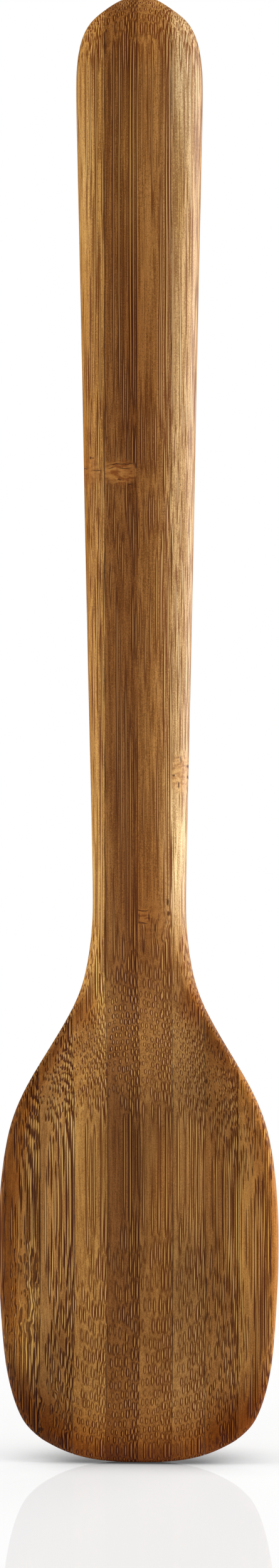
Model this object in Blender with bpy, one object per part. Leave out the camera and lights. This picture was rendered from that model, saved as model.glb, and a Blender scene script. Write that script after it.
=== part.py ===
# A laminated bamboo cooking spoon, made as the real one is: bamboo strips glued edge to edge into a
# board, which is sawn to an outline, thinned at the neck, hollowed and rounded.
# It stands on the tip of its bowl. +Z runs up the handle and the hollow faces -Y.

import math

import bmesh
import bpy
from mathutils import Matrix, Vector

MM = 0.001

# Overall sizes
SPOON_LENGTH = 310 * MM
BOWL_LENGTH = 113 * MM
BOWL_WIDTH = 59.2 * MM
BOARD_THICKNESS = 20 * MM
NECK_WIDTH = 20.0 * MM
NECK_THICKNESS = 15.4 * MM
HANDLE_WIDTH = 27.5 * MM
HANDLE_END_LENGTH = 22 * MM

# The wall round the hollow, and how far its rim lies behind the board's face at the tip
FLOOR_THICKNESS = 5 * MM
RIM_THICKNESS = 5.2 * MM
TIP_SET_BACK = 3.4 * MM

# The lamination
STRIP_WIDTH = 7 * MM
GLUE_THICKNESS = 0.15 * MM
GLUE_RECESS = 0.10 * MM
LEAST_EDGE_STRIP = 0.5 * MM

# Loops up the bowl. Height and half width are shares of the bowl's own. Hollow is how deep the middle
# lies, from the rim to the floor. Set-back is the rim's, as a share of the tip's. Back is how full the
# back is. Rise is how far the loop climbs from the middle line to the bowl's corners, over its length.
# Dish is 1 where the section is a dish and 0 where it is the handle's oval.
# height, half width, hollow, set-back, back, rise, dish
BOWL_LOOP_SHARES = (
    (0.000, 0.710, 0.00, 1.00, 0.00, 0.046, 1.00),
    (0.028, 0.799, 0.00, 0.97, 0.10, 0.040, 1.00),
    (0.060, 0.852, 0.19, 0.92, 0.26, 0.030, 1.00),
    (0.110, 0.906, 0.41, 0.82, 0.46, 0.018, 1.00),
    (0.180, 0.955, 0.64, 0.66, 0.68, 0.007, 1.00),
    (0.270, 0.980, 0.82, 0.50, 0.86, 0.001, 1.00),
    (0.370, 1.000, 0.94, 0.38, 0.96, 0.000, 1.00),
    (0.470, 1.000, 1.00, 0.30, 1.00, 0.000, 1.00),
    (0.560, 0.972, 1.00, 0.26, 1.00, 0.000, 1.00),
    (0.640, 0.915, 1.01, 0.28, 1.00, 0.000, 1.00),
    (0.710, 0.793, 0.90, 0.34, 1.00, 0.000, 1.00),
    (0.775, 0.637, 0.64, 0.44, 0.96, 0.000, 0.95),
    (0.840, 0.488, 0.34, 0.54, 0.90, 0.000, 0.75),
    (0.900, 0.388, 0.11, 0.62, 0.84, 0.000, 0.40),
)
# Loops up the handle, as shares of the way from the neck to where its end starts to round
HANDLE_LOOP_SHARES = (0.00, 0.05, 0.14, 0.27, 0.41, 0.53, 0.64, 0.76, 0.88, 1.00)
# The stretch over which the handle grows from the neck's thickness to the board's
GRIP_START_SHARE, GRIP_FULL_SHARE = 0.34, 0.64
# Above 1, the handle keeps the neck's width longer before it widens
HANDLE_FLARE = 1.08
# Angles round the handle's end, from its shoulder to its top, in degrees. Over them the end narrows by
# the taper, thins to nothing, and its corners sink below its middle by the drop.
END_LOOP_DEGREES = (22, 44, 63, 80)
END_TAPER_SHARE, END_TAPER_POWER = 0.555, 4
END_THINNING_POWER = 6
END_DROP_SHARE, END_DROP_POWER = 0.17, 5

# Places of the loops that run along the spoon, as shares of the half width, from middle to edge
BOWL_COLUMN_SHARES = (0, 0.28, 0.54, 0.76, 0.92, 0.985)
HANDLE_COLUMN_SHARES = (0, 0.24, 0.47, 0.68, 0.86, 0.97)
SIDE_BULGE_SHARE = 1.008
# Shape of the hollow and of the bowl's back over those columns
HOLLOW_SHARES = (1.0, 0.97, 0.80, 0.40, -0.03, 0.00)
BACK_SHARES = (1.0, 0.93, 0.72, 0.42, 0.14, 0.00)
# Shape of the handle's front, which is oval, and of its back, which keeps the board's flat in the middle
OVAL_FRONT_SHARES = (1.0, 0.995, 0.965, 0.875, 0.70, 0.39)
OVAL_BACK_SHARES = (1.0, 1.0, 1.0, 0.93, 0.78, 0.44)
RIM_ROUNDING_SHARE = 0.2
# How late, from the middle line to the side, a loop starts to climb or sink
CORNER_POWER = 3

# Screen shades of the strips on each side of the middle glue line, from the middle out, and of the glue.
# Left and right are those of someone who looks into the hollow.
LEFT_TONES = (
    (118, 74, 37),
    (158, 110, 62),
    (142, 98, 54),
    (136, 90, 46),
    (168, 120, 68),
)
RIGHT_TONES = (
    (140, 93, 48),
    (154, 107, 60),
    (140, 94, 50),
    (152, 104, 54),
    (170, 122, 70),
)
GLUE_TONE = (62, 36, 18)
WOOD_ROUGHNESS = 0.55
GLUE_ROUGHNESS = 0.45
SHARP_DEGREES = 35

COLUMNS = 2 * (len(BOWL_COLUMN_SHARES) - 1)
LAYERS = 2
SUBDIVISIONS = 1
SAW_TOLERANCE = 0.001 * MM


def blend(low, high, share):
    return low + (high - low) * share


def bowl_loops():
    """Each loop of the bowl in real sizes, from the tip up to the neck."""
    floor = BOARD_THICKNESS / 2 - FLOOR_THICKNESS
    for height, width, hollow, set_back, back, rise, dish in BOWL_LOOP_SHARES:
        rim = -BOARD_THICKNESS / 2 + set_back * TIP_SET_BACK
        rim_back = rim + RIM_THICKNESS
        yield {
            "height": height * BOWL_LENGTH,
            "half_width": width * BOWL_WIDTH / 2,
            "front": blend(rim, floor, hollow),
            "back": blend(rim_back, BOARD_THICKNESS / 2, back),
            "rim": rim,
            "rim_back": rim_back,
            "rise": rise * BOWL_LENGTH,
            "dish": dish,
        }


def handle_loop(height, half_width, half_thickness, rise=0):
    return {
        "height": height,
        "half_width": half_width,
        "front": -half_thickness,
        "back": half_thickness,
        "rim": -half_thickness,
        "rim_back": half_thickness,
        "rise": rise,
        "dish": 0,
    }


def handle_loops():
    """Each loop of the handle, from the neck up to its rounded end."""
    shoulder = SPOON_LENGTH - HANDLE_END_LENGTH
    for share in HANDLE_LOOP_SHARES:
        grip = min(max((share - GRIP_START_SHARE) / (GRIP_FULL_SHARE - GRIP_START_SHARE), 0), 1)
        yield handle_loop(
            blend(BOWL_LENGTH, shoulder, share),
            blend(NECK_WIDTH, HANDLE_WIDTH, share**HANDLE_FLARE) / 2,
            blend(NECK_THICKNESS, BOARD_THICKNESS, grip) / 2,
        )
    for degrees in END_LOOP_DEGREES:
        share = math.sin(math.radians(degrees))
        yield handle_loop(
            shoulder + HANDLE_END_LENGTH * share,
            HANDLE_WIDTH / 2 * (1 - END_TAPER_SHARE * share**END_TAPER_POWER),
            BOARD_THICKNESS / 2 * math.sqrt(1 - share**END_THINNING_POWER),
            -HANDLE_END_LENGTH * END_DROP_SHARE * share**END_DROP_POWER,
        )


def spoon_point(loop, column, layer, is_end):
    """Where a corner of the block goes. Column counts from the middle line, and layer from the front."""
    place = abs(column)
    is_edge = place == COLUMNS // 2
    x = blend(HANDLE_COLUMN_SHARES[place], BOWL_COLUMN_SHARES[place], loop["dish"])
    centre = (loop["front"] + loop["back"]) / 2
    half = (loop["back"] - loop["front"]) / 2
    rounding = RIM_ROUNDING_SHARE * RIM_THICKNESS if is_edge or is_end else 0
    dish_front = blend(loop["rim"], loop["front"], HOLLOW_SHARES[place]) + rounding
    dish_back = blend(loop["rim_back"], loop["back"], BACK_SHARES[place]) - rounding
    front = blend(centre - half * OVAL_FRONT_SHARES[place], dish_front, loop["dish"])
    back = blend(centre + half * OVAL_BACK_SHARES[place], dish_back, loop["dish"])
    y = (front, (front + back) / 2, back)[layer]
    if is_edge and layer == LAYERS // 2:
        x = SIDE_BULGE_SHARE
    z = loop["height"] + loop["rise"] * abs(x) ** CORNER_POWER
    return Vector((math.copysign(x, column) * loop["half_width"], y, z))


def blank_block(columns, layers, rows):
    """A box of whole-number cells, with a loop cut at every whole number along each axis."""
    block = bmesh.new()
    cells = Vector((columns, layers, rows))
    bmesh.ops.create_cube(block, size=1, matrix=Matrix.Translation(cells / 2) @ Matrix.Diagonal((*cells, 1)))
    for axis in range(3):
        across = Vector((0, 0, 0))
        across[axis] = 1
        for step in range(1, int(cells[axis])):
            everything = block.verts[:] + block.edges[:] + block.faces[:]
            bmesh.ops.bisect_plane(block, geom=everything, plane_co=across * step, plane_no=across)
    return block


def spoon_cage():
    """The control mesh of the whole spoon, before it is smoothed and divided into strips."""
    loops = [*bowl_loops(), *handle_loops()]
    last = len(loops) - 1
    cage = blank_block(COLUMNS, LAYERS, last)
    for corner in cage.verts:
        column, layer, row = (round(value) for value in corner.co)
        is_end = row in (0, last)
        corner.co = spoon_point(loops[row], column - COLUMNS // 2, layer, is_end)
    return cage


def smooth_spoon():
    """The whole spoon as one smooth closed mesh of its exact overall size."""
    cage = spoon_cage()
    mesh = bpy.data.meshes.new("spoon_cage")
    cage.to_mesh(mesh)
    cage.free()
    guide = bpy.data.objects.new("spoon_cage", mesh)
    bpy.context.scene.collection.objects.link(guide)
    smoothing = guide.modifiers.new("Smoothing", "SUBSURF")
    smoothing.levels = SUBDIVISIONS
    smoothing.render_levels = SUBDIVISIONS
    evaluated = guide.evaluated_get(bpy.context.evaluated_depsgraph_get())
    smooth = bmesh.new()
    smooth.from_mesh(evaluated.data)
    bpy.data.objects.remove(guide)
    bpy.data.meshes.remove(mesh)
    fit_to_size(smooth)
    return smooth


def fit_to_size(smooth):
    """Takes up the little that smoothing draws in, so that its tip is at zero and its sizes are exact."""
    low = Vector(min(point.co[axis] for point in smooth.verts) for axis in range(3))
    high = Vector(max(point.co[axis] for point in smooth.verts) for axis in range(3))
    size = (BOWL_WIDTH, BOARD_THICKNESS, SPOON_LENGTH)
    for point in smooth.verts:
        shares = [(point.co[axis] - low[axis]) / (high[axis] - low[axis]) for axis in range(3)]
        point.co.x = (shares[0] - 0.5) * size[0]
        point.co.y = (shares[1] - 0.5) * size[1]
        point.co.z = shares[2] * size[2]


def cut_away(wood, x, side):
    """Saws the mesh at one plane across X, drops what lies on that side of it, and closes the sawn face."""
    everything = wood.verts[:] + wood.edges[:] + wood.faces[:]
    sawn = bmesh.ops.bisect_plane(
        wood,
        geom=everything,
        dist=SAW_TOLERANCE,
        plane_co=(x, 0, 0),
        plane_no=(1, 0, 0),
        clear_outer=side > 0,
        clear_inner=side < 0,
    )["geom_cut"]
    for point in sawn:
        if isinstance(point, bmesh.types.BMVert):
            point.co.x = x
    rim = [edge for edge in sawn if isinstance(edge, bmesh.types.BMEdge)]
    return bmesh.ops.holes_fill(wood, edges=rim, sides=0)["faces"]


def sawn_strip(spoon, left, right):
    """The part of the spoon between two planes across X."""
    strip = spoon.copy()
    cut_away(strip, left, -1)
    cut_away(strip, right, 1)
    return strip


def glue_film(spoon, x):
    """The film of glue in one joint: the spoon's section there, a little short of its surface."""
    film = spoon.copy()
    section = cut_away(film, x, 1)
    others = [face for face in film.faces if face not in section]
    bmesh.ops.delete(film, geom=others, context="FACES")
    border = bmesh.ops.inset_region(film, faces=section, thickness=GLUE_RECESS, use_even_offset=True)["faces"]
    bmesh.ops.delete(film, geom=border, context="FACES")
    for point in film.verts:
        point.co.x = x - GLUE_THICKNESS / 2
    grown = bmesh.ops.extrude_face_region(film, geom=film.faces[:], use_keep_orig=True)["geom"]
    for point in grown:
        if isinstance(point, bmesh.types.BMVert):
            point.co.x = x + GLUE_THICKNESS / 2
    bmesh.ops.recalc_face_normals(film, faces=film.faces)
    return film


def bodies_of(wood):
    """The points of each unconnected body in a mesh, lowest body first."""
    bodies = []
    waiting = set(wood.verts)
    while waiting:
        body = {waiting.pop()}
        reached = list(body)
        while reached:
            point = reached.pop()
            near = {edge.other_vert(point) for edge in point.link_edges} - body
            body |= near
            reached += near
        waiting -= body
        bodies.append(body)
    return sorted(bodies, key=lambda body: min(point.co.z for point in body))


def add_objects(name, wood, material):
    """One object for each body. A strip that the outline leaves in two gives two."""
    wood.verts.index_update()
    bodies = [{point.index for point in body} for body in bodies_of(wood)]
    for number, body in enumerate(bodies):
        piece = wood.copy()
        others = [point for point in piece.verts if point.index not in body]
        bmesh.ops.delete(piece, geom=others, context="VERTS")
        mesh = bpy.data.meshes.new(name)
        piece.to_mesh(mesh)
        piece.free()
        mesh.materials.append(material)
        mesh.shade_smooth()
        mesh.set_sharp_from_angle(angle=math.radians(SHARP_DEGREES))
        own_name = name if number == 0 else f"{name}_upper_{number}"
        bpy.context.scene.collection.objects.link(bpy.data.objects.new(own_name, mesh))
    wood.free()


def linear(shade):
    """A 0 to 255 screen shade as a linear one."""
    share = shade / 255
    return share / 12.92 if share <= 0.04045 else ((share + 0.055) / 1.055) ** 2.4


def wood_material(name, red, green, blue, roughness):
    material = bpy.data.materials.new(name)
    material.use_nodes = True
    shader = material.node_tree.nodes["Principled BSDF"]
    shader.inputs["Base Color"].default_value = (linear(red), linear(green), linear(blue), 1)
    shader.inputs["Roughness"].default_value = roughness
    shader.inputs["Metallic"].default_value = 0
    return material


def glue_places():
    """How far each glue line runs from the middle line: none, one strip's width, two, and so on out."""
    each_side = int((BOWL_WIDTH / 2 - LEAST_EDGE_STRIP) / STRIP_WIDTH)
    return [number * STRIP_WIDTH for number in range(each_side + 1)]


def add_side(spoon, side, direction, tones):
    """The strips and glue lines of one half of the spoon, numbered from the middle line out."""
    glue = glue_places()
    near_faces = [x + GLUE_THICKNESS / 2 for x in glue]
    far_faces = [*(x - GLUE_THICKNESS / 2 for x in glue[1:]), BOWL_WIDTH]
    for number, (near, far) in enumerate(zip(near_faces, far_faces), start=1):
        left, right = sorted((direction * near, direction * far))
        tone = tones[(number - 1) % len(tones)]
        strip_material = wood_material(f"bamboo_{side}_{number}", *tone, WOOD_ROUGHNESS)
        add_objects(f"bamboo_strip_{side}_{number}", sawn_strip(spoon, left, right), strip_material)
    for number, x in enumerate(glue[1:], start=1):
        glue_material = wood_material(f"glue_{side}_{number}", *GLUE_TONE, GLUE_ROUGHNESS)
        add_objects(f"glue_line_{side}_{number}", glue_film(spoon, direction * x), glue_material)


for leftover in list(bpy.data.objects):
    bpy.data.objects.remove(leftover)

spoon = smooth_spoon()
add_side(spoon, "left", -1, LEFT_TONES)
add_side(spoon, "right", 1, RIGHT_TONES)
middle_glue = wood_material("glue_middle", *GLUE_TONE, GLUE_ROUGHNESS)
add_objects("glue_line_middle", glue_film(spoon, 0), middle_glue)
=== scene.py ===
import math

import bmesh
import bpy
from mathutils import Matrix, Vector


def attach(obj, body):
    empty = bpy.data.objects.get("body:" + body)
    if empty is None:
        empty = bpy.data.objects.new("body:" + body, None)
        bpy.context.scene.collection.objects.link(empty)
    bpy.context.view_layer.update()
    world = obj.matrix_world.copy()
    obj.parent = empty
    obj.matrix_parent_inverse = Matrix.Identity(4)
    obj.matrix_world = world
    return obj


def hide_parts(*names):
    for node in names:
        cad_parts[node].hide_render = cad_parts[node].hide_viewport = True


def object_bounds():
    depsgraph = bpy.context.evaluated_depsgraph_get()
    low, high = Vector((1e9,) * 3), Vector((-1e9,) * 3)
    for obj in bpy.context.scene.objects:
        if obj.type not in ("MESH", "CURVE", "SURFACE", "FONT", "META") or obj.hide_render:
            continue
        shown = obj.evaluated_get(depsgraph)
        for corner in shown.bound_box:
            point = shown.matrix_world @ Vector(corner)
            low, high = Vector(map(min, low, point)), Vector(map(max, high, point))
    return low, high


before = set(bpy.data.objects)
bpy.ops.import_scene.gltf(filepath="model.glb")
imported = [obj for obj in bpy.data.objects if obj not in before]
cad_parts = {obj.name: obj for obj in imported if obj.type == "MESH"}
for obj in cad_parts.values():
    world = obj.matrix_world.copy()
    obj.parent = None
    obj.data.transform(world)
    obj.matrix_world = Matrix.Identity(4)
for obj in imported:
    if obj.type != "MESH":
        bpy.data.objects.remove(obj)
cadLow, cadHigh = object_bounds()
bpy.ops.object.select_all(action="DESELECT")
print("frame loaded:", len(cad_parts), "nodes")

# Sizes in metres, the same as the solids'. Angles are in degrees.
spoon = {
    "length": 0.310,
    "bowlLength": 0.113,
    "bowlWidth": 0.0592,
    "boardThickness": 0.020,
    "neckWidth": 0.0200,
    "neckThickness": 0.0154,
    "handleWidth": 0.0275,
    "handleEndLength": 0.022,
    "floorThickness": 0.005,
    "rimThickness": 0.0052,
    "tipSetBack": 0.0034,
    "smoothLevels": 3,
}
strips = {"width": 0.007, "glue": 0.00015, "glueRecess": 0.0001, "eachSide": 4, "sharpAngle": 40}
perMetre = 1000.0  # the materials count in millimetres

# Loops up the bowl: height, half width, hollow, set-back of the rim, fullness of the back, rise, dish
bowlLoops = (
    (0.000, 0.710, 0.00, 1.00, 0.00, 0.046, 1.00),
    (0.028, 0.799, 0.00, 0.97, 0.10, 0.040, 1.00),
    (0.060, 0.852, 0.19, 0.92, 0.26, 0.030, 1.00),
    (0.110, 0.906, 0.41, 0.82, 0.46, 0.018, 1.00),
    (0.180, 0.955, 0.64, 0.66, 0.68, 0.007, 1.00),
    (0.270, 0.980, 0.82, 0.50, 0.86, 0.001, 1.00),
    (0.370, 1.000, 0.94, 0.38, 0.96, 0.000, 1.00),
    (0.470, 1.000, 1.00, 0.30, 1.00, 0.000, 1.00),
    (0.560, 0.972, 1.00, 0.26, 1.00, 0.000, 1.00),
    (0.640, 0.915, 1.01, 0.28, 1.00, 0.000, 1.00),
    (0.710, 0.793, 0.90, 0.34, 1.00, 0.000, 1.00),
    (0.775, 0.637, 0.64, 0.44, 0.96, 0.000, 0.95),
    (0.840, 0.488, 0.34, 0.54, 0.90, 0.000, 0.75),
    (0.900, 0.388, 0.11, 0.62, 0.84, 0.000, 0.40),
)
handleLoops = (0.00, 0.05, 0.14, 0.27, 0.41, 0.53, 0.64, 0.76, 0.88, 1.00)
handle = {
    "gripStart": 0.34,
    "gripFull": 0.64,
    "flare": 1.08,
    "endAngles": (22, 44, 63, 80),
    "endTaper": 0.555,
    "taperPower": 4,
    "thinningPower": 6,
    "endDrop": 0.17,
    "dropPower": 5,
}
# The lengthwise loops, from the middle line to the side, and the sections over them
columns = {
    "bowl": (0, 0.28, 0.54, 0.76, 0.92, 0.985),
    "handle": (0, 0.24, 0.47, 0.68, 0.86, 0.97),
    "hollow": (1.0, 0.97, 0.80, 0.40, -0.03, 0.00),
    "back": (1.0, 0.93, 0.72, 0.42, 0.14, 0.00),
    "ovalFront": (1.0, 0.995, 0.965, 0.875, 0.70, 0.39),
    "ovalBack": (1.0, 1.0, 1.0, 0.93, 0.78, 0.44),
    "sideBulge": 1.008,
    "rimRounding": 0.2,
    "cornerPower": 3,
    "leastSide": 0.001,
}
sideColumns = len(columns["bowl"]) - 1


def between(low, high, share):
    return low + (high - low) * share


# Each loop across the spoon: its height, half width, front, back, rim and rise, all in metres
def loopsOfBowl():
    board = spoon["boardThickness"] / 2
    floor = board - spoon["floorThickness"]
    for height, width, hollow, setBack, back, rise, dish in bowlLoops:
        rim = -board + setBack * spoon["tipSetBack"]
        rimBack = rim + spoon["rimThickness"]
        yield {
            "height": height * spoon["bowlLength"],
            "halfWidth": width * spoon["bowlWidth"] / 2,
            "front": between(rim, floor, hollow),
            "back": between(rimBack, board, back),
            "rim": rim,
            "rimBack": rimBack,
            "rise": rise * spoon["bowlLength"],
            "dish": dish,
        }


def handleLoop(height, halfWidth, halfThickness, rise=0):
    front, back = -halfThickness, halfThickness
    return {"height": height, "halfWidth": halfWidth, "front": front, "back": back,
            "rim": front, "rimBack": back, "rise": rise, "dish": 0}


def loopsOfHandle():
    shoulder = spoon["length"] - spoon["handleEndLength"]
    for share in handleLoops:
        grip = (share - handle["gripStart"]) / (handle["gripFull"] - handle["gripStart"])
        grip = min(max(grip, 0), 1)
        yield handleLoop(
            between(spoon["bowlLength"], shoulder, share),
            between(spoon["neckWidth"], spoon["handleWidth"], share ** handle["flare"]) / 2,
            between(spoon["neckThickness"], spoon["boardThickness"], grip) / 2,
        )
    for angle in handle["endAngles"]:
        share = math.sin(math.radians(angle))
        yield handleLoop(
            shoulder + spoon["handleEndLength"] * share,
            spoon["handleWidth"] / 2 * (1 - handle["endTaper"] * share ** handle["taperPower"]),
            spoon["boardThickness"] / 2 * math.sqrt(1 - share ** handle["thinningPower"]),
            -spoon["handleEndLength"] * handle["endDrop"] * share ** handle["dropPower"],
        )


def edit(piece):
    bpy.ops.object.select_all(action="DESELECT")
    bpy.context.view_layer.objects.active = piece
    piece.select_set(True)
    bpy.ops.object.mode_set(mode="EDIT")
    bpy.ops.mesh.select_mode(type="VERT")


def finishEdit():
    bpy.ops.object.mode_set(mode="OBJECT")
    bpy.ops.object.select_all(action="DESELECT")


def pick(piece, wanted):
    cage = bmesh.from_edit_mesh(piece.data)
    for vert in cage.verts:
        vert.select = vert.index in wanted
    cage.select_flush(True)
    bmesh.update_edit_mesh(piece.data, loop_triangles=False, destructive=False)


# The board that the spoon is cut from, with a loop for every row, column and layer
def addBoard(rows):
    size = (spoon["bowlWidth"], spoon["boardThickness"], spoon["length"])
    cells = (2 * sideColumns, 2, rows)
    bpy.ops.mesh.primitive_cube_add(size=1, location=(0, 0, size[2] / 2), scale=size)
    board = bpy.context.object
    board.name = "board"
    bpy.ops.object.transform_apply(location=True, rotation=True, scale=True)
    edit(board)
    low = (-size[0] / 2, -size[1] / 2, 0)
    for axis in range(3):
        across = [0, 0, 0]
        across[axis] = 1
        for step in range(1, cells[axis]):
            place = [0, 0, 0]
            place[axis] = low[axis] + size[axis] * step / cells[axis]
            bpy.ops.mesh.select_all(action="SELECT")
            bpy.ops.mesh.bisect(plane_co=place, plane_no=across)
    return board, size, cells


# Which points stand in each row and in each pair of columns left and right of the middle
def pointsByPlace(board, size, cells):
    found = {}
    for vert in bmesh.from_edit_mesh(board.data).verts:
        column = round(vert.co.x / size[0] * cells[0])
        row = round(vert.co.z / size[2] * cells[2])
        found.setdefault((row, abs(column)), set()).add(vert.index)
    return found


# One pair of columns in one row is drawn in to its width and thickness, then moved to its place
def shapeLoop(board, size, cells, points, row, place, loop, isEnd):
    share = between(columns["handle"][place], columns["bowl"][place], loop["dish"])
    isEdge = place == sideColumns
    rounding = columns["rimRounding"] * spoon["rimThickness"] if isEdge or isEnd else 0
    centre = (loop["front"] + loop["back"]) / 2
    half = (loop["back"] - loop["front"]) / 2
    dishFront = between(loop["rim"], loop["front"], columns["hollow"][place]) + rounding
    dishBack = between(loop["rimBack"], loop["back"], columns["back"][place]) - rounding
    front = between(centre - half * columns["ovalFront"][place], dishFront, loop["dish"])
    back = between(centre + half * columns["ovalBack"][place], dishBack, loop["dish"])
    pick(board, points[row, place])
    drawIn = share * loop["halfWidth"] / (size[0] * place / cells[0]) if place else 1
    bpy.ops.transform.resize(value=(drawIn, (back - front) / size[1], 1), center_override=(0, 0, 0))
    rise = loop["rise"] * share ** columns["cornerPower"]
    lift = loop["height"] + rise - size[2] * row / cells[2]
    bpy.ops.transform.translate(value=(0, (front + back) / 2, lift))


def makeWholeSpoon():
    loops = [*loopsOfBowl(), *loopsOfHandle()]
    last = len(loops) - 1
    board, size, cells = addBoard(last)
    points = pointsByPlace(board, size, cells)
    for row, loop in enumerate(loops):
        for place in range(sideColumns + 1):
            shapeLoop(board, size, cells, points, row, place, loop, row in (0, last))
    cage = bmesh.from_edit_mesh(board.data)
    pick(board, {vert.index for vert in cage.verts if isSide(vert, points, last)})
    bulge = columns["sideBulge"] / columns["bowl"][-1]
    bpy.ops.transform.resize(value=(bulge, 1, 1), center_override=(0, 0, 0))
    finishEdit()
    smoothing = board.modifiers.new("Smoothing", "SUBSURF")
    smoothing.levels = spoon["smoothLevels"]
    smoothing.render_levels = spoon["smoothLevels"]
    bpy.context.view_layer.objects.active = board
    bpy.ops.object.modifier_apply(modifier="Smoothing")
    fitToBox(board)
    return board


# The middle layer of the outermost columns, which makes the rounded side
def isSide(vert, points, last):
    outer = {index for row in range(last + 1) for index in points[row, sideColumns]}
    if vert.index not in outer or len(vert.link_edges) != 4:
        return False
    near = [edge.other_vert(vert) for edge in vert.link_edges]
    levels = sorted(other.co.y for other in near if other.index in outer)
    return levels[0] < vert.co.y < levels[-1] and levels[-1] - levels[0] > columns["leastSide"]


# Smoothing draws the shape in a little, so it is brought back to the solids' own box
def fitToBox(piece):
    low = [min(vert.co[axis] for vert in piece.data.vertices) for axis in range(3)]
    high = [max(vert.co[axis] for vert in piece.data.vertices) for axis in range(3)]
    grow = [(cadHigh[axis] - cadLow[axis]) / (high[axis] - low[axis]) for axis in range(3)]
    edit(piece)
    bpy.ops.mesh.select_all(action="SELECT")
    bpy.ops.transform.resize(value=grow, center_override=(0, 0, 0))
    bpy.ops.transform.translate(value=[cadLow[axis] - low[axis] * grow[axis] for axis in range(3)])
    finishEdit()


# What lies between two saw cuts across X, as a piece of its own
def sawPiece(whole, name, left, right):
    piece = whole.copy()
    piece.data = whole.data.copy()
    piece.name = name
    bpy.context.scene.collection.objects.link(piece)
    edit(piece)
    for place, cut in ((left, {"clear_inner": True}), (right, {"clear_outer": True})):
        if abs(place) < spoon["bowlWidth"] / 2:
            bpy.ops.mesh.select_all(action="SELECT")
            bpy.ops.mesh.bisect(plane_co=(place, 0, 0), plane_no=(1, 0, 0), use_fill=True, **cut)
    finishEdit()
    bpy.context.view_layer.objects.active = piece
    piece.select_set(True)
    bpy.ops.object.shade_smooth_by_angle(angle=math.radians(strips["sharpAngle"]))
    bpy.ops.object.select_all(action="DESELECT")
    return piece


# Materials

def paint(red, green, blue):
    def linear(shade):
        share = shade / 255
        return share / 12.92 if share <= 0.04045 else ((share + 0.055) / 1.055) ** 2.4
    return (linear(red), linear(green), linear(blue), 1)


nodeGrid = {"across": 14, "width": 190, "height": 260}


def put(tree, kind, wires, **settings):
    made = tree.nodes.new(kind)
    row, column = divmod(len(tree.nodes), nodeGrid["across"])
    made.location = (column * nodeGrid["width"], -row * nodeGrid["height"])
    for name, value in settings.items():
        setattr(made, name, value)
    for socket, value in wires.items():
        if isinstance(value, bpy.types.NodeSocket):
            tree.links.new(value, made.inputs[socket])
        else:
            made.inputs[socket].default_value = value
    return made


def calc(tree, operation, first, second=0.0, third=0.0):
    return put(tree, "ShaderNodeMath", {0: first, 1: second, 2: third}, operation=operation).outputs[0]


def fade(tree, value, start, end, low=0.0, high=1.0):
    wires = {"Value": value, "From Min": start, "From Max": end, "To Min": low, "To Max": high}
    return put(tree, "ShaderNodeMapRange", wires, interpolation_type="SMOOTHSTEP").outputs[0]


def mixColours(tree, share, first, second, blend="MIX"):
    wires = {"Factor": share, 6: first, 7: second}
    return put(tree, "ShaderNodeMix", wires, data_type="RGBA", blend_type=blend).outputs[2]


# The colour with a tint laid over it, as strongly as the share says
def tinted(tree, share, colour, tint):
    return mixColours(tree, share, colour, mixColours(tree, 1.0, colour, tint, "MULTIPLY"))


def product(tree, first, *others):
    for other in others:
        first = calc(tree, "MULTIPLY", first, other)
    return first


# One value where the share is 0 and another where it is 1
def blendBy(tree, share, low, high):
    return fade(tree, share, 0.0, 1.0, low, high)


def distanceOf(tree, across, up):
    squared = calc(tree, "MULTIPLY_ADD", across, across, calc(tree, "MULTIPLY", up, up))
    return calc(tree, "SQRT", squared)


def combine(tree, x, y, z=0.0):
    return put(tree, "ShaderNodeCombineXYZ", {0: x, 1: y, 2: z}).outputs[0]


def noise(tree, place, detail=2.0, roughness=0.5):
    wires = {"Vector": place, "Scale": 1.0, "Detail": detail, "Roughness": roughness}
    return put(tree, "ShaderNodeTexNoise", wires, noise_dimensions="3D")


def centred(tree, field):
    return calc(tree, "SUBTRACT", field, 0.5)


# A place in a noise that is drawn out along the grain. The pitch is how much of the noise one millimetre
# takes in, across, into and along the strip.
def grainPlace(tree, x, y, z, seed, grainPitch):
    across, deep, along = grainPitch
    return combine(tree, calc(tree, "MULTIPLY_ADD", x, across, seed), calc(tree, "MULTIPLY", y, deep),
                   calc(tree, "MULTIPLY", z, along))


def newMaterial(name):
    material = bpy.data.materials.new(name)
    material.use_nodes = True
    return material, material.node_tree


def placeInMillimetres(tree):
    place = put(tree, "ShaderNodeTexCoord", {}).outputs["Object"]
    return put(tree, "ShaderNodeVectorMath", {0: place, "Scale": perMetre}, operation="SCALE").outputs[0]


# Fibre bundles run along the strip, and the surface cuts them wherever it meets them. Each is a pale core
# between two dark crescents. They grow larger and closer from the strip's left edge to its right. Sizes are
# in millimetres. A fade is written as its start and end, and its low and high where they aren't 0 and 1.
bundles = {
    "open": {"pitchX": 1.04, "pitchY": 0.70, "randomness": 0.36, "radius": 0.32, "radiusSpread": 0.09,
             "coreShift": 0.14, "from": -0.3, "full": 3.0, "to": 4.9, "fewest": 0.55},
    "dense": {"pitchX": 0.84, "pitchY": 0.66, "randomness": 0.30, "radius": 0.35, "radiusSpread": 0.08,
              "coreShift": 0.16, "from": 4.9, "full": 5.1, "to": 7.4, "fewest": 0.95},
    "stagger": 0.5,
    "growth": (0.0, 6.0, 0.85, 1.08),
    "coreSlimness": 1.9,
    "coreBorder": (0.66, 0.40),
    "endsToSides": (0.10, 0.70, 0.35, 1.0),
    "middleToSheath": (0.25, 0.62, 0.85, 1.0),
    "sheathBorder": (1.0, 0.88),
    "leastDepth": 0.85,
    "depthSpread": 0.3,
}


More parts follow.
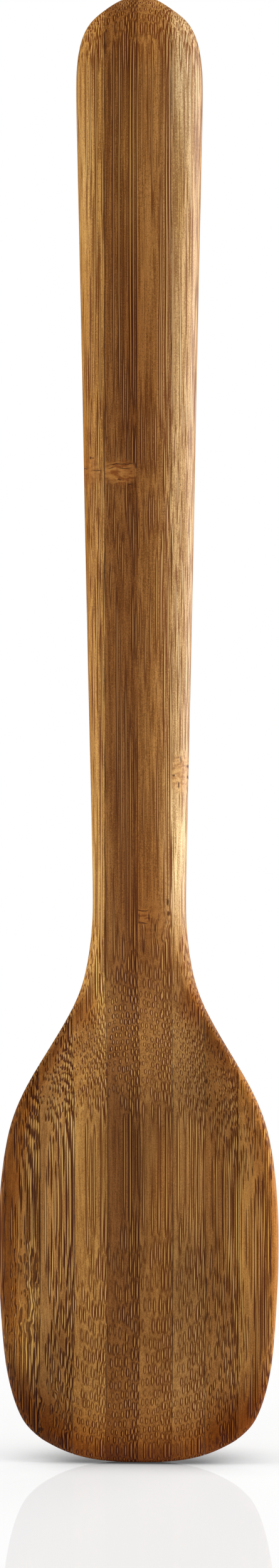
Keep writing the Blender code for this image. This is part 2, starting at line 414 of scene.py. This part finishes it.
def bundleLayer(tree, x, y, leftEdge, thickness, layer):
    rowPlace = calc(tree, "DIVIDE", y, layer["pitchY"])
    columnPlace = calc(tree, "DIVIDE", x, layer["pitchX"])
    columnPlace = calc(tree, "MULTIPLY_ADD", rowPlace, bundles["stagger"], columnPlace)
    place = combine(tree, columnPlace, rowPlace)
    wires = {"Vector": place, "Scale": 1.0, "Randomness": layer["randomness"]}
    cells = put(tree, "ShaderNodeTexVoronoi", wires, voronoi_dimensions="2D", feature="F1")
    centre = put(tree, "ShaderNodeSeparateXYZ", {0: cells.outputs["Position"]})
    roll = put(tree, "ShaderNodeSeparateColor", {0: cells.outputs["Color"]})
    centreX = calc(tree, "MULTIPLY_ADD", centre.outputs[1], -bundles["stagger"], centre.outputs[0])
    centreX = calc(tree, "MULTIPLY", centreX, layer["pitchX"])
    acrossX = calc(tree, "SUBTRACT", x, centreX)
    acrossY = calc(tree, "SUBTRACT", rowPlace, centre.outputs[1])
    acrossY = calc(tree, "MULTIPLY", acrossY, layer["pitchY"])
    home = calc(tree, "SUBTRACT", centreX, leftEdge)
    radius = calc(tree, "MULTIPLY_ADD", roll.outputs[0], layer["radiusSpread"], layer["radius"])
    radius = product(tree, radius, fade(tree, home, *bundles["growth"]), thickness)
    distance = distanceOf(tree, acrossX, acrossY)
    away = calc(tree, "DIVIDE", distance, radius)
    shifted = calc(tree, "SUBTRACT", acrossX, calc(tree, "MULTIPLY", radius, layer["coreShift"]))
    shifted = calc(tree, "MULTIPLY", shifted, bundles["coreSlimness"])
    awayFromCore = calc(tree, "DIVIDE", distanceOf(tree, shifted, acrossY), radius)
    chance = fade(tree, home, layer["from"], layer["full"], layer["fewest"], 1.0)
    kept = product(tree, calc(tree, "LESS_THAN", roll.outputs[1], chance),
                   calc(tree, "GREATER_THAN", home, layer["from"]),
                   calc(tree, "LESS_THAN", home, layer["to"]))
    core = calc(tree, "MULTIPLY", fade(tree, awayFromCore, *bundles["coreBorder"]), kept)
    sideways = calc(tree, "DIVIDE", calc(tree, "ABSOLUTE", acrossX), distance)
    crescent = product(tree, fade(tree, sideways, *bundles["endsToSides"]),
                       fade(tree, away, *bundles["middleToSheath"]))
    depth = calc(tree, "MULTIPLY_ADD", roll.outputs[2], bundles["depthSpread"], bundles["leastDepth"])
    strength = calc(tree, "MULTIPLY", crescent, depth)
    sheath = product(tree, fade(tree, away, *bundles["sheathBorder"]), strength,
                     calc(tree, "SUBTRACT", kept, core))
    return sheath, core


# How far a place is from the middle of an oval on the front: 0 in its middle and 1 on its border
def awayFromOval(tree, x, z, middle, reach):
    across = calc(tree, "DIVIDE", calc(tree, "SUBTRACT", x, middle[0]), reach[0])
    up = calc(tree, "DIVIDE", calc(tree, "SUBTRACT", z, middle[1]), reach[1])
    return distanceOf(tree, across, up)


# Where the bamboo's own nodes cross a strip, the bundles tangle or die out and the grain lies level.
# Middle and reach are across and up, in millimetres.
tangles = {
    ("left", 1): ({"middle": (-3.6, 209.0), "reach": (5.0, 3.4), "tangle": 0.9, "level": 0.95},),
    ("left", 2): ({"middle": (-10.6, 209.5), "reach": (4.0, 4.5), "tangle": 0.9, "level": 0.55},),
    ("right", 1): ({"middle": (1.0, 115.7), "reach": (2.2, 2.4), "tangle": 1.0, "level": 0.9},
                   {"middle": (4.4, 114.0), "reach": (4.6, 5.5), "tangle": 1.6, "level": 0.3}),
    ("right", 2): ({"middle": (9.0, 146.0), "reach": (3.2, 5.5), "tangle": 1.6, "level": 0.6},),
    ("left", 4): ({"middle": (-25.0, 36.0), "reach": (6.0, 15.0), "tangle": 2.0, "level": 0.2},),
    ("left", 3): ({"middle": (-18.5, 10.0), "reach": (5.5, 8.0), "tangle": 1.8, "level": 0.2},),
    ("right", 3): ({"middle": (18.0, 84.0), "reach": (4.5, 8.5), "tangle": 2.2, "level": 0.2},),
}
# Small dark marks: cracks, knots and pips, each with its middle and its reach
marks = {
    ("left", 1): (((-3.5, 210.7), (3.4, 0.15)), ((-2.6, 209.8), (1.7, 0.11)),
                  ((-5.6, 210.0), (0.8, 0.10)), ((-3.8, 207.4), (0.42, 0.22)),
                  ((-1.7, 206.4), (0.60, 0.14)), ((-0.4, 210.3), (0.22, 0.80))),
    ("left", 2): (((-10.1, 212.3), (0.26, 0.30)), ((-9.5, 212.2), (0.20, 0.22)),
                  ((-12.0, 210.0), (1.4, 0.10)), ((-8.6, 209.4), (1.0, 0.09))),
    ("right", 1): (((1.0, 117.1), (1.5, 0.15)), ((0.9, 114.4), (1.3, 0.13)),
                   ((2.35, 115.6), (0.17, 1.2)), ((0.25, 115.7), (0.13, 1.2)),
                   ((1.0, 109.4), (0.17, 2.0)), ((6.3, 118.6), (0.36, 0.9)),
                   ((6.4, 116.2), (0.32, 0.6)), ((3.6, 113.6), (0.14, 1.2))),
    ("right", 2): (((10.2, 147.2), (0.22, 0.42)), ((10.3, 144.9), (0.22, 0.42)),
                   ((7.5, 145.4), (0.30, 0.28)), ((8.4, 143.4), (0.16, 0.9)),
                   ((9.0, 148.6), (0.14, 0.8))),
    ("left", 3): (((-20.7, 7.3), (0.75, 0.45)), ((-20.9, 12.0), (0.40, 0.60))),
    ("right", 3): (((14.35, 80.5), (0.26, 0.80)), ((14.30, 75.8), (0.20, 1.30)),
                   ((14.2, 36.5), (0.14, 2.4)), ((14.2, 30.0), (0.14, 1.2))),
}
# Broad places that are darker or paler than their strip: middle, reach and tint. Some are painted light:
# painted highlights on the dome and on the edges of the grip, and painted light in the hollow.
tintedPlacesAndPaintedLight = (
    ((-15.0, 18.0), (11.0, 22.0), (0.70, 0.66, 0.64)),
    ((24.0, 8.0), (10.0, 9.0), (0.86, 0.80, 0.72)),
    ((0.0, 301.0), (14.0, 12.0), (1.18, 1.16, 1.08)),
    # Painted highlights at the top of the dome
    ((-3.8, 308.6), (3.2, 3.0), (1.5, 1.7, 1.9)),
    ((4.4, 308.6), (3.2, 3.0), (1.5, 1.7, 1.9)),
    ((0.0, 228.0), (5.5, 50.0), (0.82, 0.74, 0.68)),
    ((0.0, 195.0), (4.8, 75.0), (0.88, 0.85, 0.82)),
    ((1.0, 117.0), (6.5, 28.0), (0.82, 0.72, 0.62)),
    # Painted light in the top and on the floor of the hollow
    ((2.0, 86.0), (13.0, 17.0), (1.42, 1.50, 1.50)),
    ((11.0, 60.0), (11.0, 20.0), (1.42, 1.42, 1.36)),
    ((8.6, 270.0), (2.0, 30.0), (0.84, 0.78, 0.66)),
    # A painted highlight down the left edge of the grip
    ((-12.0, 272.0), (4.0, 26.0), (1.12, 1.24, 1.45)),
    ((-11.8, 212.0), (4.0, 50.0), (0.82, 0.72, 0.55)),
    ((-12.5, 91.0), (7.0, 11.0), (0.74, 0.70, 0.68)),
    ((16.0, 90.0), (6.0, 10.0), (0.70, 0.62, 0.52)),
    ((-11.0, 96.0), (5.0, 6.0), (0.78, 0.62, 0.44)),
    ((11.5, 97.0), (5.0, 7.0), (0.78, 0.60, 0.42)),
    ((7.4, 130.0), (4.0, 26.0), (1.34, 1.50, 1.65)),
    ((-8.5, 120.0), (5.0, 40.0), (1.26, 1.38, 1.42)),
    ((-2.2, 272.0), (3.0, 26.0), (1.30, 1.45, 1.40)),
    # A painted highlight on the right edge of the grip near its end
    ((10.0, 290.0), (4.0, 24.0), (1.15, 1.28, 1.50)),
    ((5.5, 175.0), (3.6, 42.0), (1.20, 1.26, 1.32)),
    ((4.0, 46.0), (4.0, 30.0), (1.26, 1.26, 1.18)),
    # Painted light on the right wall of the hollow
    ((22.5, 47.0), (8.0, 16.0), (1.28, 1.32, 1.28)),
    ((-24.0, 28.0), (5.0, 13.0), (1.32, 1.42, 1.35)),
    ((-15.5, 70.0), (4.5, 15.0), (1.18, 1.28, 1.32)),
    ((-6.5, 96.0), (4.0, 11.0), (1.20, 1.35, 1.45)),
)

# Screen shades of each strip, from left to right as one looks into the hollow, how strongly its bundles show
# and how thick they are
stripLooks = (
    ("left", 5, {"tissue": (150, 104, 52), "dark": (84, 38, 10), "pale": (181, 142, 87),
                 "bold": 0.90, "thick": 1.0}),
    ("left", 4, {"tissue": (136, 93, 44), "dark": (54, 22, 7), "pale": (176, 136, 76),
                 "bold": 1.00, "thick": 1.10}),
    ("left", 3, {"tissue": (138, 96, 49), "dark": (60, 24, 7), "pale": (174, 137, 80),
                 "bold": 1.00, "thick": 1.09}),
    ("left", 2, {"tissue": (155, 111, 56), "dark": (84, 37, 9), "pale": (182, 144, 86),
                 "bold": 0.94, "thick": 1.0}),
    ("left", 1, {"tissue": (115, 73, 34), "dark": (62, 26, 7), "pale": (160, 117, 64),
                 "bold": 1.00, "thick": 1.0}),
    ("right", 1, {"tissue": (132, 89, 44), "dark": (80, 35, 9), "pale": (170, 130, 74),
                  "bold": 0.96, "thick": 1.0}),
    ("right", 2, {"tissue": (143, 101, 54), "dark": (82, 37, 9), "pale": (180, 142, 88),
                  "bold": 0.92, "thick": 1.0}),
    ("right", 3, {"tissue": (134, 90, 44), "dark": (68, 30, 8), "pale": (170, 130, 74),
                  "bold": 1.00, "thick": 1.0}),
    ("right", 4, {"tissue": (148, 104, 52), "dark": (74, 34, 8), "pale": (182, 146, 84),
                  "bold": 0.94, "thick": 1.0}),
    ("right", 5, {"tissue": (150, 105, 54), "dark": (86, 41, 11), "pale": (183, 147, 90),
                  "bold": 0.87, "thick": 1.0}),
)

# The bundles sway a little from side to side and dive in and out, so that streaks start and end. In a node
# they tangle. Sway and dive are in millimetres.
bends = {
    "slowGrain": (0.16, 0.12, 0.028),
    "sway": 0.45,
    "dive": 0.85,
    "tangleGrain": (0.55, 0.30, 0.22),
    "tangleBorder": (1.0, 0.5),
}


def bundleBends(tree, side, number, x, y, z, seed):
    slow = grainPlace(tree, x, y, z, seed, bends["slowGrain"])
    drift = put(tree, "ShaderNodeSeparateColor", {0: noise(tree, slow, detail=1.0).outputs["Color"]})
    sway = calc(tree, "MULTIPLY", centred(tree, drift.outputs[0]), bends["sway"])
    dive = calc(tree, "MULTIPLY", centred(tree, drift.outputs[1]), bends["dive"])
    tangled = grainPlace(tree, x, y, z, seed, bends["tangleGrain"])
    knots = put(tree, "ShaderNodeSeparateColor", {0: noise(tree, tangled).outputs["Color"]})
    waveX = centred(tree, knots.outputs[0])
    waveZ = centred(tree, knots.outputs[1])
    level = 0.0
    for node in tangles.get((side, number), ()):
        near = fade(tree, awayFromOval(tree, x, z, node["middle"], node["reach"]), *bends["tangleBorder"])
        bend = calc(tree, "MULTIPLY", near, node["tangle"])
        sway = calc(tree, "MULTIPLY_ADD", waveX, bend, sway)
        dive = calc(tree, "MULTIPLY_ADD", waveZ, bend, dive)
        level = calc(tree, "MAXIMUM", level, calc(tree, "MULTIPLY", near, node["level"]))
    return sway, dive, level, waveX, waveZ


# The tissue between the bundles, from broad patches to fine pores. Each layer has its grain per millimetre
# across and along the strip, and where it darkens and lightens the tissue: from, to, share and tone.
grain = {
    "patches": {"across": 0.30, "along": 0.022,
                "dark": (0.45, 0.72, 0.60, 0.72), "pale": (0.45, 0.30, 0.50, 1.22)},
    "streaks": {"across": 1.10, "along": 0.028,
                "dark": (0.50, 0.66, 0.65, 0.58), "pale": (0.46, 0.32, 0.50, 1.38)},
    "flecks": {"across": 3.20, "along": 0.13,
               "dark": (0.53, 0.66, 0.55, 0.48), "pale": (0.45, 0.33, 0.40, 1.40)},
    "pores": {"across": 5.00, "along": 3.5,
              "dark": (0.50, 0.72, 0.65, 0.45), "pale": (0.48, 0.28, 0.45, 1.50)},
}
fibres = {
    "grain": (4.6, 4.6, 0.05),
    "dark": (0.49, 0.65),
    "darkTint": (0.46, 0.32, 0.22, 1),
    "pale": (0.47, 0.32, 0.0, 0.9),
    "paleTone": 1.40,
    "inBowl": 0.45,
    "onHandle": 1.0,
    "grainInBowl": 1.0,
    "grainOnHandle": 1.2,
}


toning = {"green": 1.3, "blue": 1.6}


# A darker tone is redder too, and a paler one is nearer cream
def toned(shade, share):
    red, green, blue = shade[:3]
    return (red * share, green * share ** toning["green"], blue * share ** toning["blue"], 1)


def tissueColour(tree, tissue, x, y, z, seed, onHandle):
    fibrePlace = grainPlace(tree, x, y, z, seed, fibres["grain"])
    fibreField = noise(tree, fibrePlace, detail=3.0, roughness=0.6).outputs["Fac"]
    lines = blendBy(tree, onHandle, fibres["inBowl"], fibres["onHandle"])
    dark = calc(tree, "MULTIPLY", lines, fade(tree, fibreField, *fibres["dark"]))
    pale = calc(tree, "MULTIPLY", lines, fade(tree, fibreField, *fibres["pale"]))
    colour = tinted(tree, dark, tissue, fibres["darkTint"])
    colour = mixColours(tree, pale, colour, toned(tissue, fibres["paleTone"]))
    grainShare = blendBy(tree, onHandle, fibres["grainInBowl"], fibres["grainOnHandle"])
    fields = {}
    for name, layer in grain.items():
        place = grainPlace(tree, x, y, z, seed, (layer["across"], layer["across"], layer["along"]))
        fields[name] = noise(tree, place, roughness=0.6).outputs["Fac"]
        for start, end, share, tone in (layer["dark"], layer["pale"]):
            shows = calc(tree, "MULTIPLY", fade(tree, fields[name], start, end, 0.0, share), grainShare)
            colour = mixColours(tree, shows, colour, toned(tissue, tone))
    return colour, fibreField, fields["pores"]


# The level grain of a node
nodeLook = {
    "grain": (0.5, 0.5, 1.7),
    "wave": 2.5,
    "ripple": (0.38, 0.60),
    "dark": (112, 62, 24),
    "pale": (152, 103, 50),
}


def nodeColour(tree, x, y, z, seed, waveZ):
    across, deep, along = nodeLook["grain"]
    wave = calc(tree, "MULTIPLY", waveZ, nodeLook["wave"])
    place = combine(tree, calc(tree, "MULTIPLY_ADD", x, across, seed), calc(tree, "MULTIPLY", y, deep),
                    calc(tree, "MULTIPLY_ADD", z, along, wave))
    levelGrain = noise(tree, place, detail=3.0, roughness=0.6).outputs["Fac"]
    ripple = fade(tree, levelGrain, *nodeLook["ripple"])
    return mixColours(tree, ripple, paint(*nodeLook["dark"]), paint(*nodeLook["pale"]))


# Knots, pips and splits have uneven borders
markLook = {"shade": (56, 27, 11), "waveX": 0.8, "waveZ": 1.4, "bite": 0.8, "border": (1.55, 0.9, 0.0, 0.85)}


def markDents(tree, side, number, x, z, waveX, waveZ, pores):
    markX = calc(tree, "MULTIPLY_ADD", waveX, markLook["waveX"], x)
    markZ = calc(tree, "MULTIPLY_ADD", waveZ, markLook["waveZ"], z)
    dents = 0.0
    for middle, reach in marks.get((side, number), ()):
        away = awayFromOval(tree, markX, markZ, middle, reach)
        away = calc(tree, "MULTIPLY_ADD", pores, markLook["bite"], away)
        dents = calc(tree, "MAXIMUM", dents, fade(tree, away, *markLook["border"]))
    return dents


# The rim of the hollow is darker and redder, most of all at its lip, and more on the left, where this is
# partly painted shade. The left wall of the hollow has painted shade, and the grip a painted highlight down
# its right side.
# Places are in millimetres across, from front to back, and up.
tintsAndPaintedLight = {
    "placeBorder": (1.0, 0.2),
    "wallShadeTint": (0.74, 0.76, 0.80, 1),
    "wallShadeDepth": (1.0, -4.0),
    "wallShadeAcross": (-14.0, -20.0),
    "wallShadeTop": (108.0, 96.0),
    "rimTint": (0.68, 0.42, 0.12, 1),
    "rimDepth": (-5.0, -8.5),
    "rimTop": (108.0, 92.0),
    "rimFoot": (14.0, 26.0, 0.2, 0.85),
    "rimAcross": (-5.0, 24.0, 1.0, 0.65),
    "lipTint": (0.52, 0.30, 0.10, 1),
    "lipCurve": -0.022,
    "lipHeight": (12.0, -1.0),
    "lipDepth": (4.0, 0.0),
    "lipTop": (26.0, 18.0),
    "gripHighlightTint": (1.20, 1.52, 2.30, 1),
    "gripHighlightAcross": (3.5, 9.0),
    "gripHighlightSide": (10.5, 13.5, 1.0, 0.5),
}


def tonedWithPaintedLight(tree, colour, x, y, z, stripMiddle, stripWidth):
    # Darker and paler places, some of them painted highlights and painted light
    for middle, reach, tint in tintedPlacesAndPaintedLight:
        if abs(middle[0] - stripMiddle) > reach[0] + stripWidth / 2:
            continue
        near = fade(tree, awayFromOval(tree, x, z, middle, reach), *tintsAndPaintedLight["placeBorder"])
        colour = tinted(tree, near, colour, (*tint, 1))
    # Painted shade on the left wall of the hollow
    wallShade = product(tree, fade(tree, y, *tintsAndPaintedLight["wallShadeDepth"]), fade(tree, x, *tintsAndPaintedLight["wallShadeAcross"]),
                   fade(tree, z, *tintsAndPaintedLight["wallShadeTop"]))
    # The rim's darkening is real tint, and its extra strength on the left is painted shade
    rim = product(tree, fade(tree, y, *tintsAndPaintedLight["rimDepth"]), fade(tree, z, *tintsAndPaintedLight["rimTop"]),
                  fade(tree, z, *tintsAndPaintedLight["rimFoot"]), fade(tree, x, *tintsAndPaintedLight["rimAcross"]))
    lipHeight = calc(tree, "MULTIPLY_ADD", calc(tree, "MULTIPLY", x, x), tintsAndPaintedLight["lipCurve"], z)
    lip = product(tree, fade(tree, lipHeight, *tintsAndPaintedLight["lipHeight"]), fade(tree, y, *tintsAndPaintedLight["lipDepth"]),
                  fade(tree, z, *tintsAndPaintedLight["lipTop"]))
    colour = tinted(tree, wallShade, colour, tintsAndPaintedLight["wallShadeTint"])
    colour = tinted(tree, rim, colour, tintsAndPaintedLight["rimTint"])
    return tinted(tree, lip, colour, tintsAndPaintedLight["lipTint"])


bamboo = {
    "handle": (104.0, 122.0),
    "dome": (290.0, 298.0),
    "seedStep": 7.31,
    "gripBundles": 0.80,
    "domeBundles": 1.08,
    "boldOnGrip": 0.95,
    "coreInBowl": 0.90,
    "coreOnGrip": 0.85,
    "coreOnDome": 0.45,
    "roughInBowl": 0.58,
    "roughOnHandle": 0.38,
    "roughFibres": 0.12,
    "specular": 0.12,
    "relief": 0.00004,
    "fibreRelief": 0.4,
    "bundleRelief": 0.8,
    "markRelief": 2.0,
}


def bambooMaterial(side, number, look):
    material, tree = newMaterial(f"bamboo_{side}_{number}")
    shader = tree.nodes["Principled BSDF"]
    step = number - 1 if side == "right" else -number
    seed = (step + strips["eachSide"] + 2) * bamboo["seedStep"]  # counts the strips from 1, from the left
    stripWidth = strips["width"] * perMetre
    leftEdge = step * stripWidth
    x, y, z = put(tree, "ShaderNodeSeparateXYZ", {0: placeInMillimetres(tree)}).outputs
    onHandle = fade(tree, z, *bamboo["handle"])
    onDome = fade(tree, z, *bamboo["dome"])
    onGrip = calc(tree, "SUBTRACT", onHandle, onDome)

    sway, dive, level, waveX, waveZ = bundleBends(tree, side, number, x, y, z, seed)
    bundleX = calc(tree, "ADD", x, sway)
    bundleY = calc(tree, "ADD", y, calc(tree, "ADD", dive, seed))
    thickness = product(tree, blendBy(tree, onGrip, look["thick"], bamboo["gripBundles"]),
                        blendBy(tree, onDome, 1.0, bamboo["domeBundles"]))
    openSheath, openCore = bundleLayer(tree, bundleX, bundleY, leftEdge, thickness, bundles["open"])
    denseSheath, denseCore = bundleLayer(tree, bundleX, bundleY, leftEdge, thickness, bundles["dense"])
    sheath = calc(tree, "MAXIMUM", openSheath, denseSheath)
    core = calc(tree, "MAXIMUM", openCore, denseCore)

    tissue = paint(*look["tissue"])
    colour, fibreField, pores = tissueColour(tree, tissue, bundleX, bundleY, z, seed, onHandle)
    colour = mixColours(tree, level, colour, nodeColour(tree, x, y, z, seed, waveZ))
    bold = product(tree, calc(tree, "SUBTRACT", 1.0, level), look["bold"],
                   blendBy(tree, onGrip, 1.0, bamboo["boldOnGrip"]))
    colour = mixColours(tree, calc(tree, "MULTIPLY", sheath, bold), colour, paint(*look["dark"]))
    coreShare = product(tree, blendBy(tree, onGrip, bamboo["coreInBowl"], bamboo["coreOnGrip"]),
                        blendBy(tree, onDome, 1.0, bamboo["coreOnDome"]))
    coreShows = calc(tree, "MULTIPLY", core, calc(tree, "MULTIPLY", bold, coreShare))
    colour = mixColours(tree, coreShows, colour, paint(*look["pale"]))

    # A painted highlight down the right side of the grip
    gripHighlight = product(tree, fade(tree, x, *tintsAndPaintedLight["gripHighlightAcross"]), onHandle, fade(tree, x, *tintsAndPaintedLight["gripHighlightSide"]))
    colour = tinted(tree, gripHighlight, colour, tintsAndPaintedLight["gripHighlightTint"])
    dents = markDents(tree, side, number, x, z, waveX, waveZ, pores)
    colour = mixColours(tree, dents, colour, paint(*markLook["shade"]))
    colour = tonedWithPaintedLight(tree, colour, x, y, z, leftEdge + stripWidth / 2, stripWidth)
    tree.links.new(colour, shader.inputs["Base Color"])

    roughness = blendBy(tree, onHandle, bamboo["roughInBowl"], bamboo["roughOnHandle"])
    roughness = calc(tree, "MULTIPLY_ADD", fibreField, bamboo["roughFibres"], roughness)
    tree.links.new(roughness, shader.inputs["Roughness"])
    shader.inputs["Specular IOR Level"].default_value = bamboo["specular"]
    height = calc(tree, "SUBTRACT", calc(tree, "MULTIPLY", fibreField, bamboo["fibreRelief"]),
                  calc(tree, "MULTIPLY", sheath, bamboo["bundleRelief"]))
    height = calc(tree, "SUBTRACT", height, calc(tree, "MULTIPLY", dents, bamboo["markRelief"]))
    wires = {"Height": height, "Distance": bamboo["relief"], "Strength": 1.0}
    tree.links.new(put(tree, "ShaderNodeBump", wires).outputs[0], shader.inputs["Normal"])
    return material


glueLook = {
    "dark": (76, 42, 18),
    "pale": (108, 66, 30),
    "beads": (0.35, 0.65),
    "rough": (0.3, 0.7, 0.4, 0.6),
    "relief": 0.00002,
}


def glueMaterial():
    material, tree = newMaterial("woodGlue")
    shader = tree.nodes["Principled BSDF"]
    beads = noise(tree, placeInMillimetres(tree), detail=3.0, roughness=0.6).outputs["Fac"]
    share = fade(tree, beads, *glueLook["beads"])
    colour = mixColours(tree, share, paint(*glueLook["dark"]), paint(*glueLook["pale"]))
    tree.links.new(colour, shader.inputs["Base Color"])
    tree.links.new(fade(tree, beads, *glueLook["rough"]), shader.inputs["Roughness"])
    wires = {"Height": beads, "Distance": glueLook["relief"], "Strength": 1.0}
    tree.links.new(put(tree, "ShaderNodeBump", wires).outputs[0], shader.inputs["Normal"])
    return material


# The spoon

board = makeWholeSpoon()
print("whole spoon:", len(board.data.polygons), "faces")

halfGlue = strips["glue"] / 2
for side, number, look in stripLooks:
    near = (number - 1) * strips["width"] + halfGlue
    far = number * strips["width"] - halfGlue if number <= strips["eachSide"] else spoon["bowlWidth"]
    left, right = (near, far) if side == "right" else (-far, -near)
    strip = sawPiece(board, f"strip_{side}_{number}", left, right)
    strip.data.materials.append(bambooMaterial(side, number, look))
    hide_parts(f"bamboo_strip_{side}_{number}")
    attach(strip, "root")
print("strips sawn")

sunk = board.modifiers.new("Sunk", "DISPLACE")
sunk.mid_level = 0
sunk.strength = -strips["glueRecess"]
bpy.context.view_layer.objects.active = board
bpy.ops.object.modifier_apply(modifier="Sunk")
glue = glueMaterial()
for number in range(-strips["eachSide"], strips["eachSide"] + 1):
    x = number * strips["width"]
    name = "middle" if number == 0 else f"left_{-number}" if number < 0 else f"right_{number}"
    film = sawPiece(board, f"glue_{name}", x - halfGlue, x + halfGlue)
    film.data.materials.append(glue)
    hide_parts(f"glue_line_{name}")
    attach(film, "root")
bpy.data.objects.remove(board)
print("glue lines laid")

# The studio
studio = {
    "frameHeight": 0.333,
    "frameMiddle": 0.1435,
    "cameraAcross": 0.030,
    "cameraDistance": 0.70,
    "cameraHeight": 0.150,
    "sensor": 36,
    "clip": (0.01, 50),
    "white": (1, 1, 1, 1),
    "dim": (0.05, 0.05, 0.05, 1),
}
lamps = {
    "right": {"place": (0.79, -0.16, 0.20), "size": (0.45, 0.40), "watts": 9.5, "glossy": False},
    "rightBack": {"place": (0.66, 0.50, 0.25), "size": (0.40, 0.60), "watts": 5.5, "glossy": True},
    "left": {"place": (-0.80, -0.02, 0.22), "size": (0.45, 0.45), "watts": 7.5, "glossy": False},
    "lowRight": {"place": (0.55, -0.55, 0.05), "size": (0.6, 0.1), "watts": 2.3, "glossy": False},
    "lowLeft": {"place": (-0.55, -0.55, 0.05), "size": (0.6, 0.1), "watts": 1.6, "glossy": False},
    "top": {"place": (0.00, -0.10, 1.00), "size": (0.35, 0.25), "watts": 7, "glossy": False},
    "back": {"place": (-0.20, 1.10, 0.40), "size": (0.9, 0.5), "watts": 5, "glossy": False},
}


def aim(thing, place, target):
    thing.location = place
    toward = [target[axis] - place[axis] for axis in range(3)]
    flat = math.hypot(toward[0], toward[1])
    thing.rotation_euler = (math.atan2(flat, -toward[2]), 0, math.atan2(-toward[0], toward[1]))


def addCamera():
    data = bpy.data.cameras.new("camera")
    camera = bpy.data.objects.new("camera", data)
    bpy.context.scene.collection.objects.link(camera)
    data.sensor_width = studio["sensor"]
    data.lens = studio["sensor"] * studio["cameraDistance"] / studio["frameHeight"]
    data.clip_start, data.clip_end = studio["clip"]
    place = (studio["cameraAcross"], -studio["cameraDistance"], studio["cameraHeight"])
    aim(camera, place, (0, 0, studio["frameMiddle"]))
    bpy.context.scene.camera = camera


def addLamp(name, lamp):
    data = bpy.data.lights.new(name, "AREA")
    data.shape = "RECTANGLE"
    data.size, data.size_y = lamp["size"]
    data.energy = lamp["watts"]
    light = bpy.data.objects.new(name, data)
    light.visible_glossy = lamp["glossy"]
    bpy.context.scene.collection.objects.link(light)
    aim(light, lamp["place"], (0, 0, spoon["length"] / 2))


# White to the camera, through glass and in a sharp mirror, and a dim light from all round for the rest
def addWorld():
    world = bpy.data.worlds.new("studio")
    bpy.context.scene.world = world
    world.use_nodes = True
    tree = world.node_tree
    rays = put(tree, "ShaderNodeLightPath", {})
    seen = calc(tree, "MAXIMUM", rays.outputs["Is Camera Ray"], rays.outputs["Is Transmission Ray"])
    mirrored = calc(tree, "MULTIPLY", rays.outputs["Is Glossy Ray"], rays.outputs["Is Singular Ray"])
    seen = calc(tree, "MAXIMUM", seen, mirrored)
    back = tree.nodes["Background"]
    tree.links.new(mixColours(tree, seen, studio["dim"], studio["white"]), back.inputs["Color"])
    back.inputs["Strength"].default_value = 1.0


# A pale floor that shows the spoon's contact shadow and a faint mirror image, and fades to white further out
floorLook = {
    "size": 24,
    "contactReach": 0.024,
    "contactSamples": 16,
    "contact": (0.30, 0.88, 0.10, 1.0),
    "seenShade": 0.62,
    "bounceShade": (0.8, 0.8, 0.8, 1),
    "lift": 0.6,
    "mirror": 0.12,
    "fadeOut": (0.15, 0.6),
}


def floorMaterial():
    material, tree = newMaterial("paleFloor")
    tree.nodes.remove(tree.nodes["Principled BSDF"])
    onCamera = put(tree, "ShaderNodeLightPath", {}).outputs["Is Camera Ray"]
    wires = {"Distance": floorLook["contactReach"]}
    openness = put(tree, "ShaderNodeAmbientOcclusion", wires, samples=floorLook["contactSamples"])
    contact = fade(tree, openness.outputs["AO"], *floorLook["contact"])
    seen = calc(tree, "MULTIPLY", contact, floorLook["seenShade"])
    shade = mixColours(tree, onCamera, floorLook["bounceShade"], combine(tree, seen, seen, seen))
    matt = put(tree, "ShaderNodeBsdfDiffuse", {"Color": shade})
    lift = put(tree, "ShaderNodeEmission", {"Color": studio["white"], "Strength": contact})
    lifted = calc(tree, "MULTIPLY", onCamera, floorLook["lift"])
    matt = put(tree, "ShaderNodeMixShader", {0: lifted, 1: matt.outputs[0], 2: lift.outputs[0]})
    gloss = put(tree, "ShaderNodeBsdfGlossy", {"Color": studio["white"], "Roughness": 0.0})
    wires = {0: floorLook["mirror"], 1: matt.outputs[0], 2: gloss.outputs[0]}
    near = put(tree, "ShaderNodeMixShader", wires)
    glow = put(tree, "ShaderNodeEmission", {"Color": studio["white"], "Strength": 1.0})
    place = put(tree, "ShaderNodeTexCoord", {}).outputs["Object"]
    away = put(tree, "ShaderNodeVectorMath", {0: place}, operation="LENGTH").outputs["Value"]
    far = calc(tree, "MULTIPLY", fade(tree, away, *floorLook["fadeOut"]), onCamera)
    surface = put(tree, "ShaderNodeMixShader", {0: far, 1: near.outputs[0], 2: glow.outputs[0]})
    tree.links.new(surface.outputs[0], tree.nodes["Material Output"].inputs["Surface"])
    return material


def addFloor():
    bpy.ops.mesh.primitive_plane_add(size=floorLook["size"], location=(0, 0, 0))
    floor = bpy.context.object
    floor.name = "floor"
    floor.data.materials.append(floorMaterial())


addCamera()
for name, lamp in lamps.items():
    addLamp(name, lamp)
addWorld()
addFloor()
bpy.context.scene.view_settings.view_transform = "Standard"
print("studio ready")
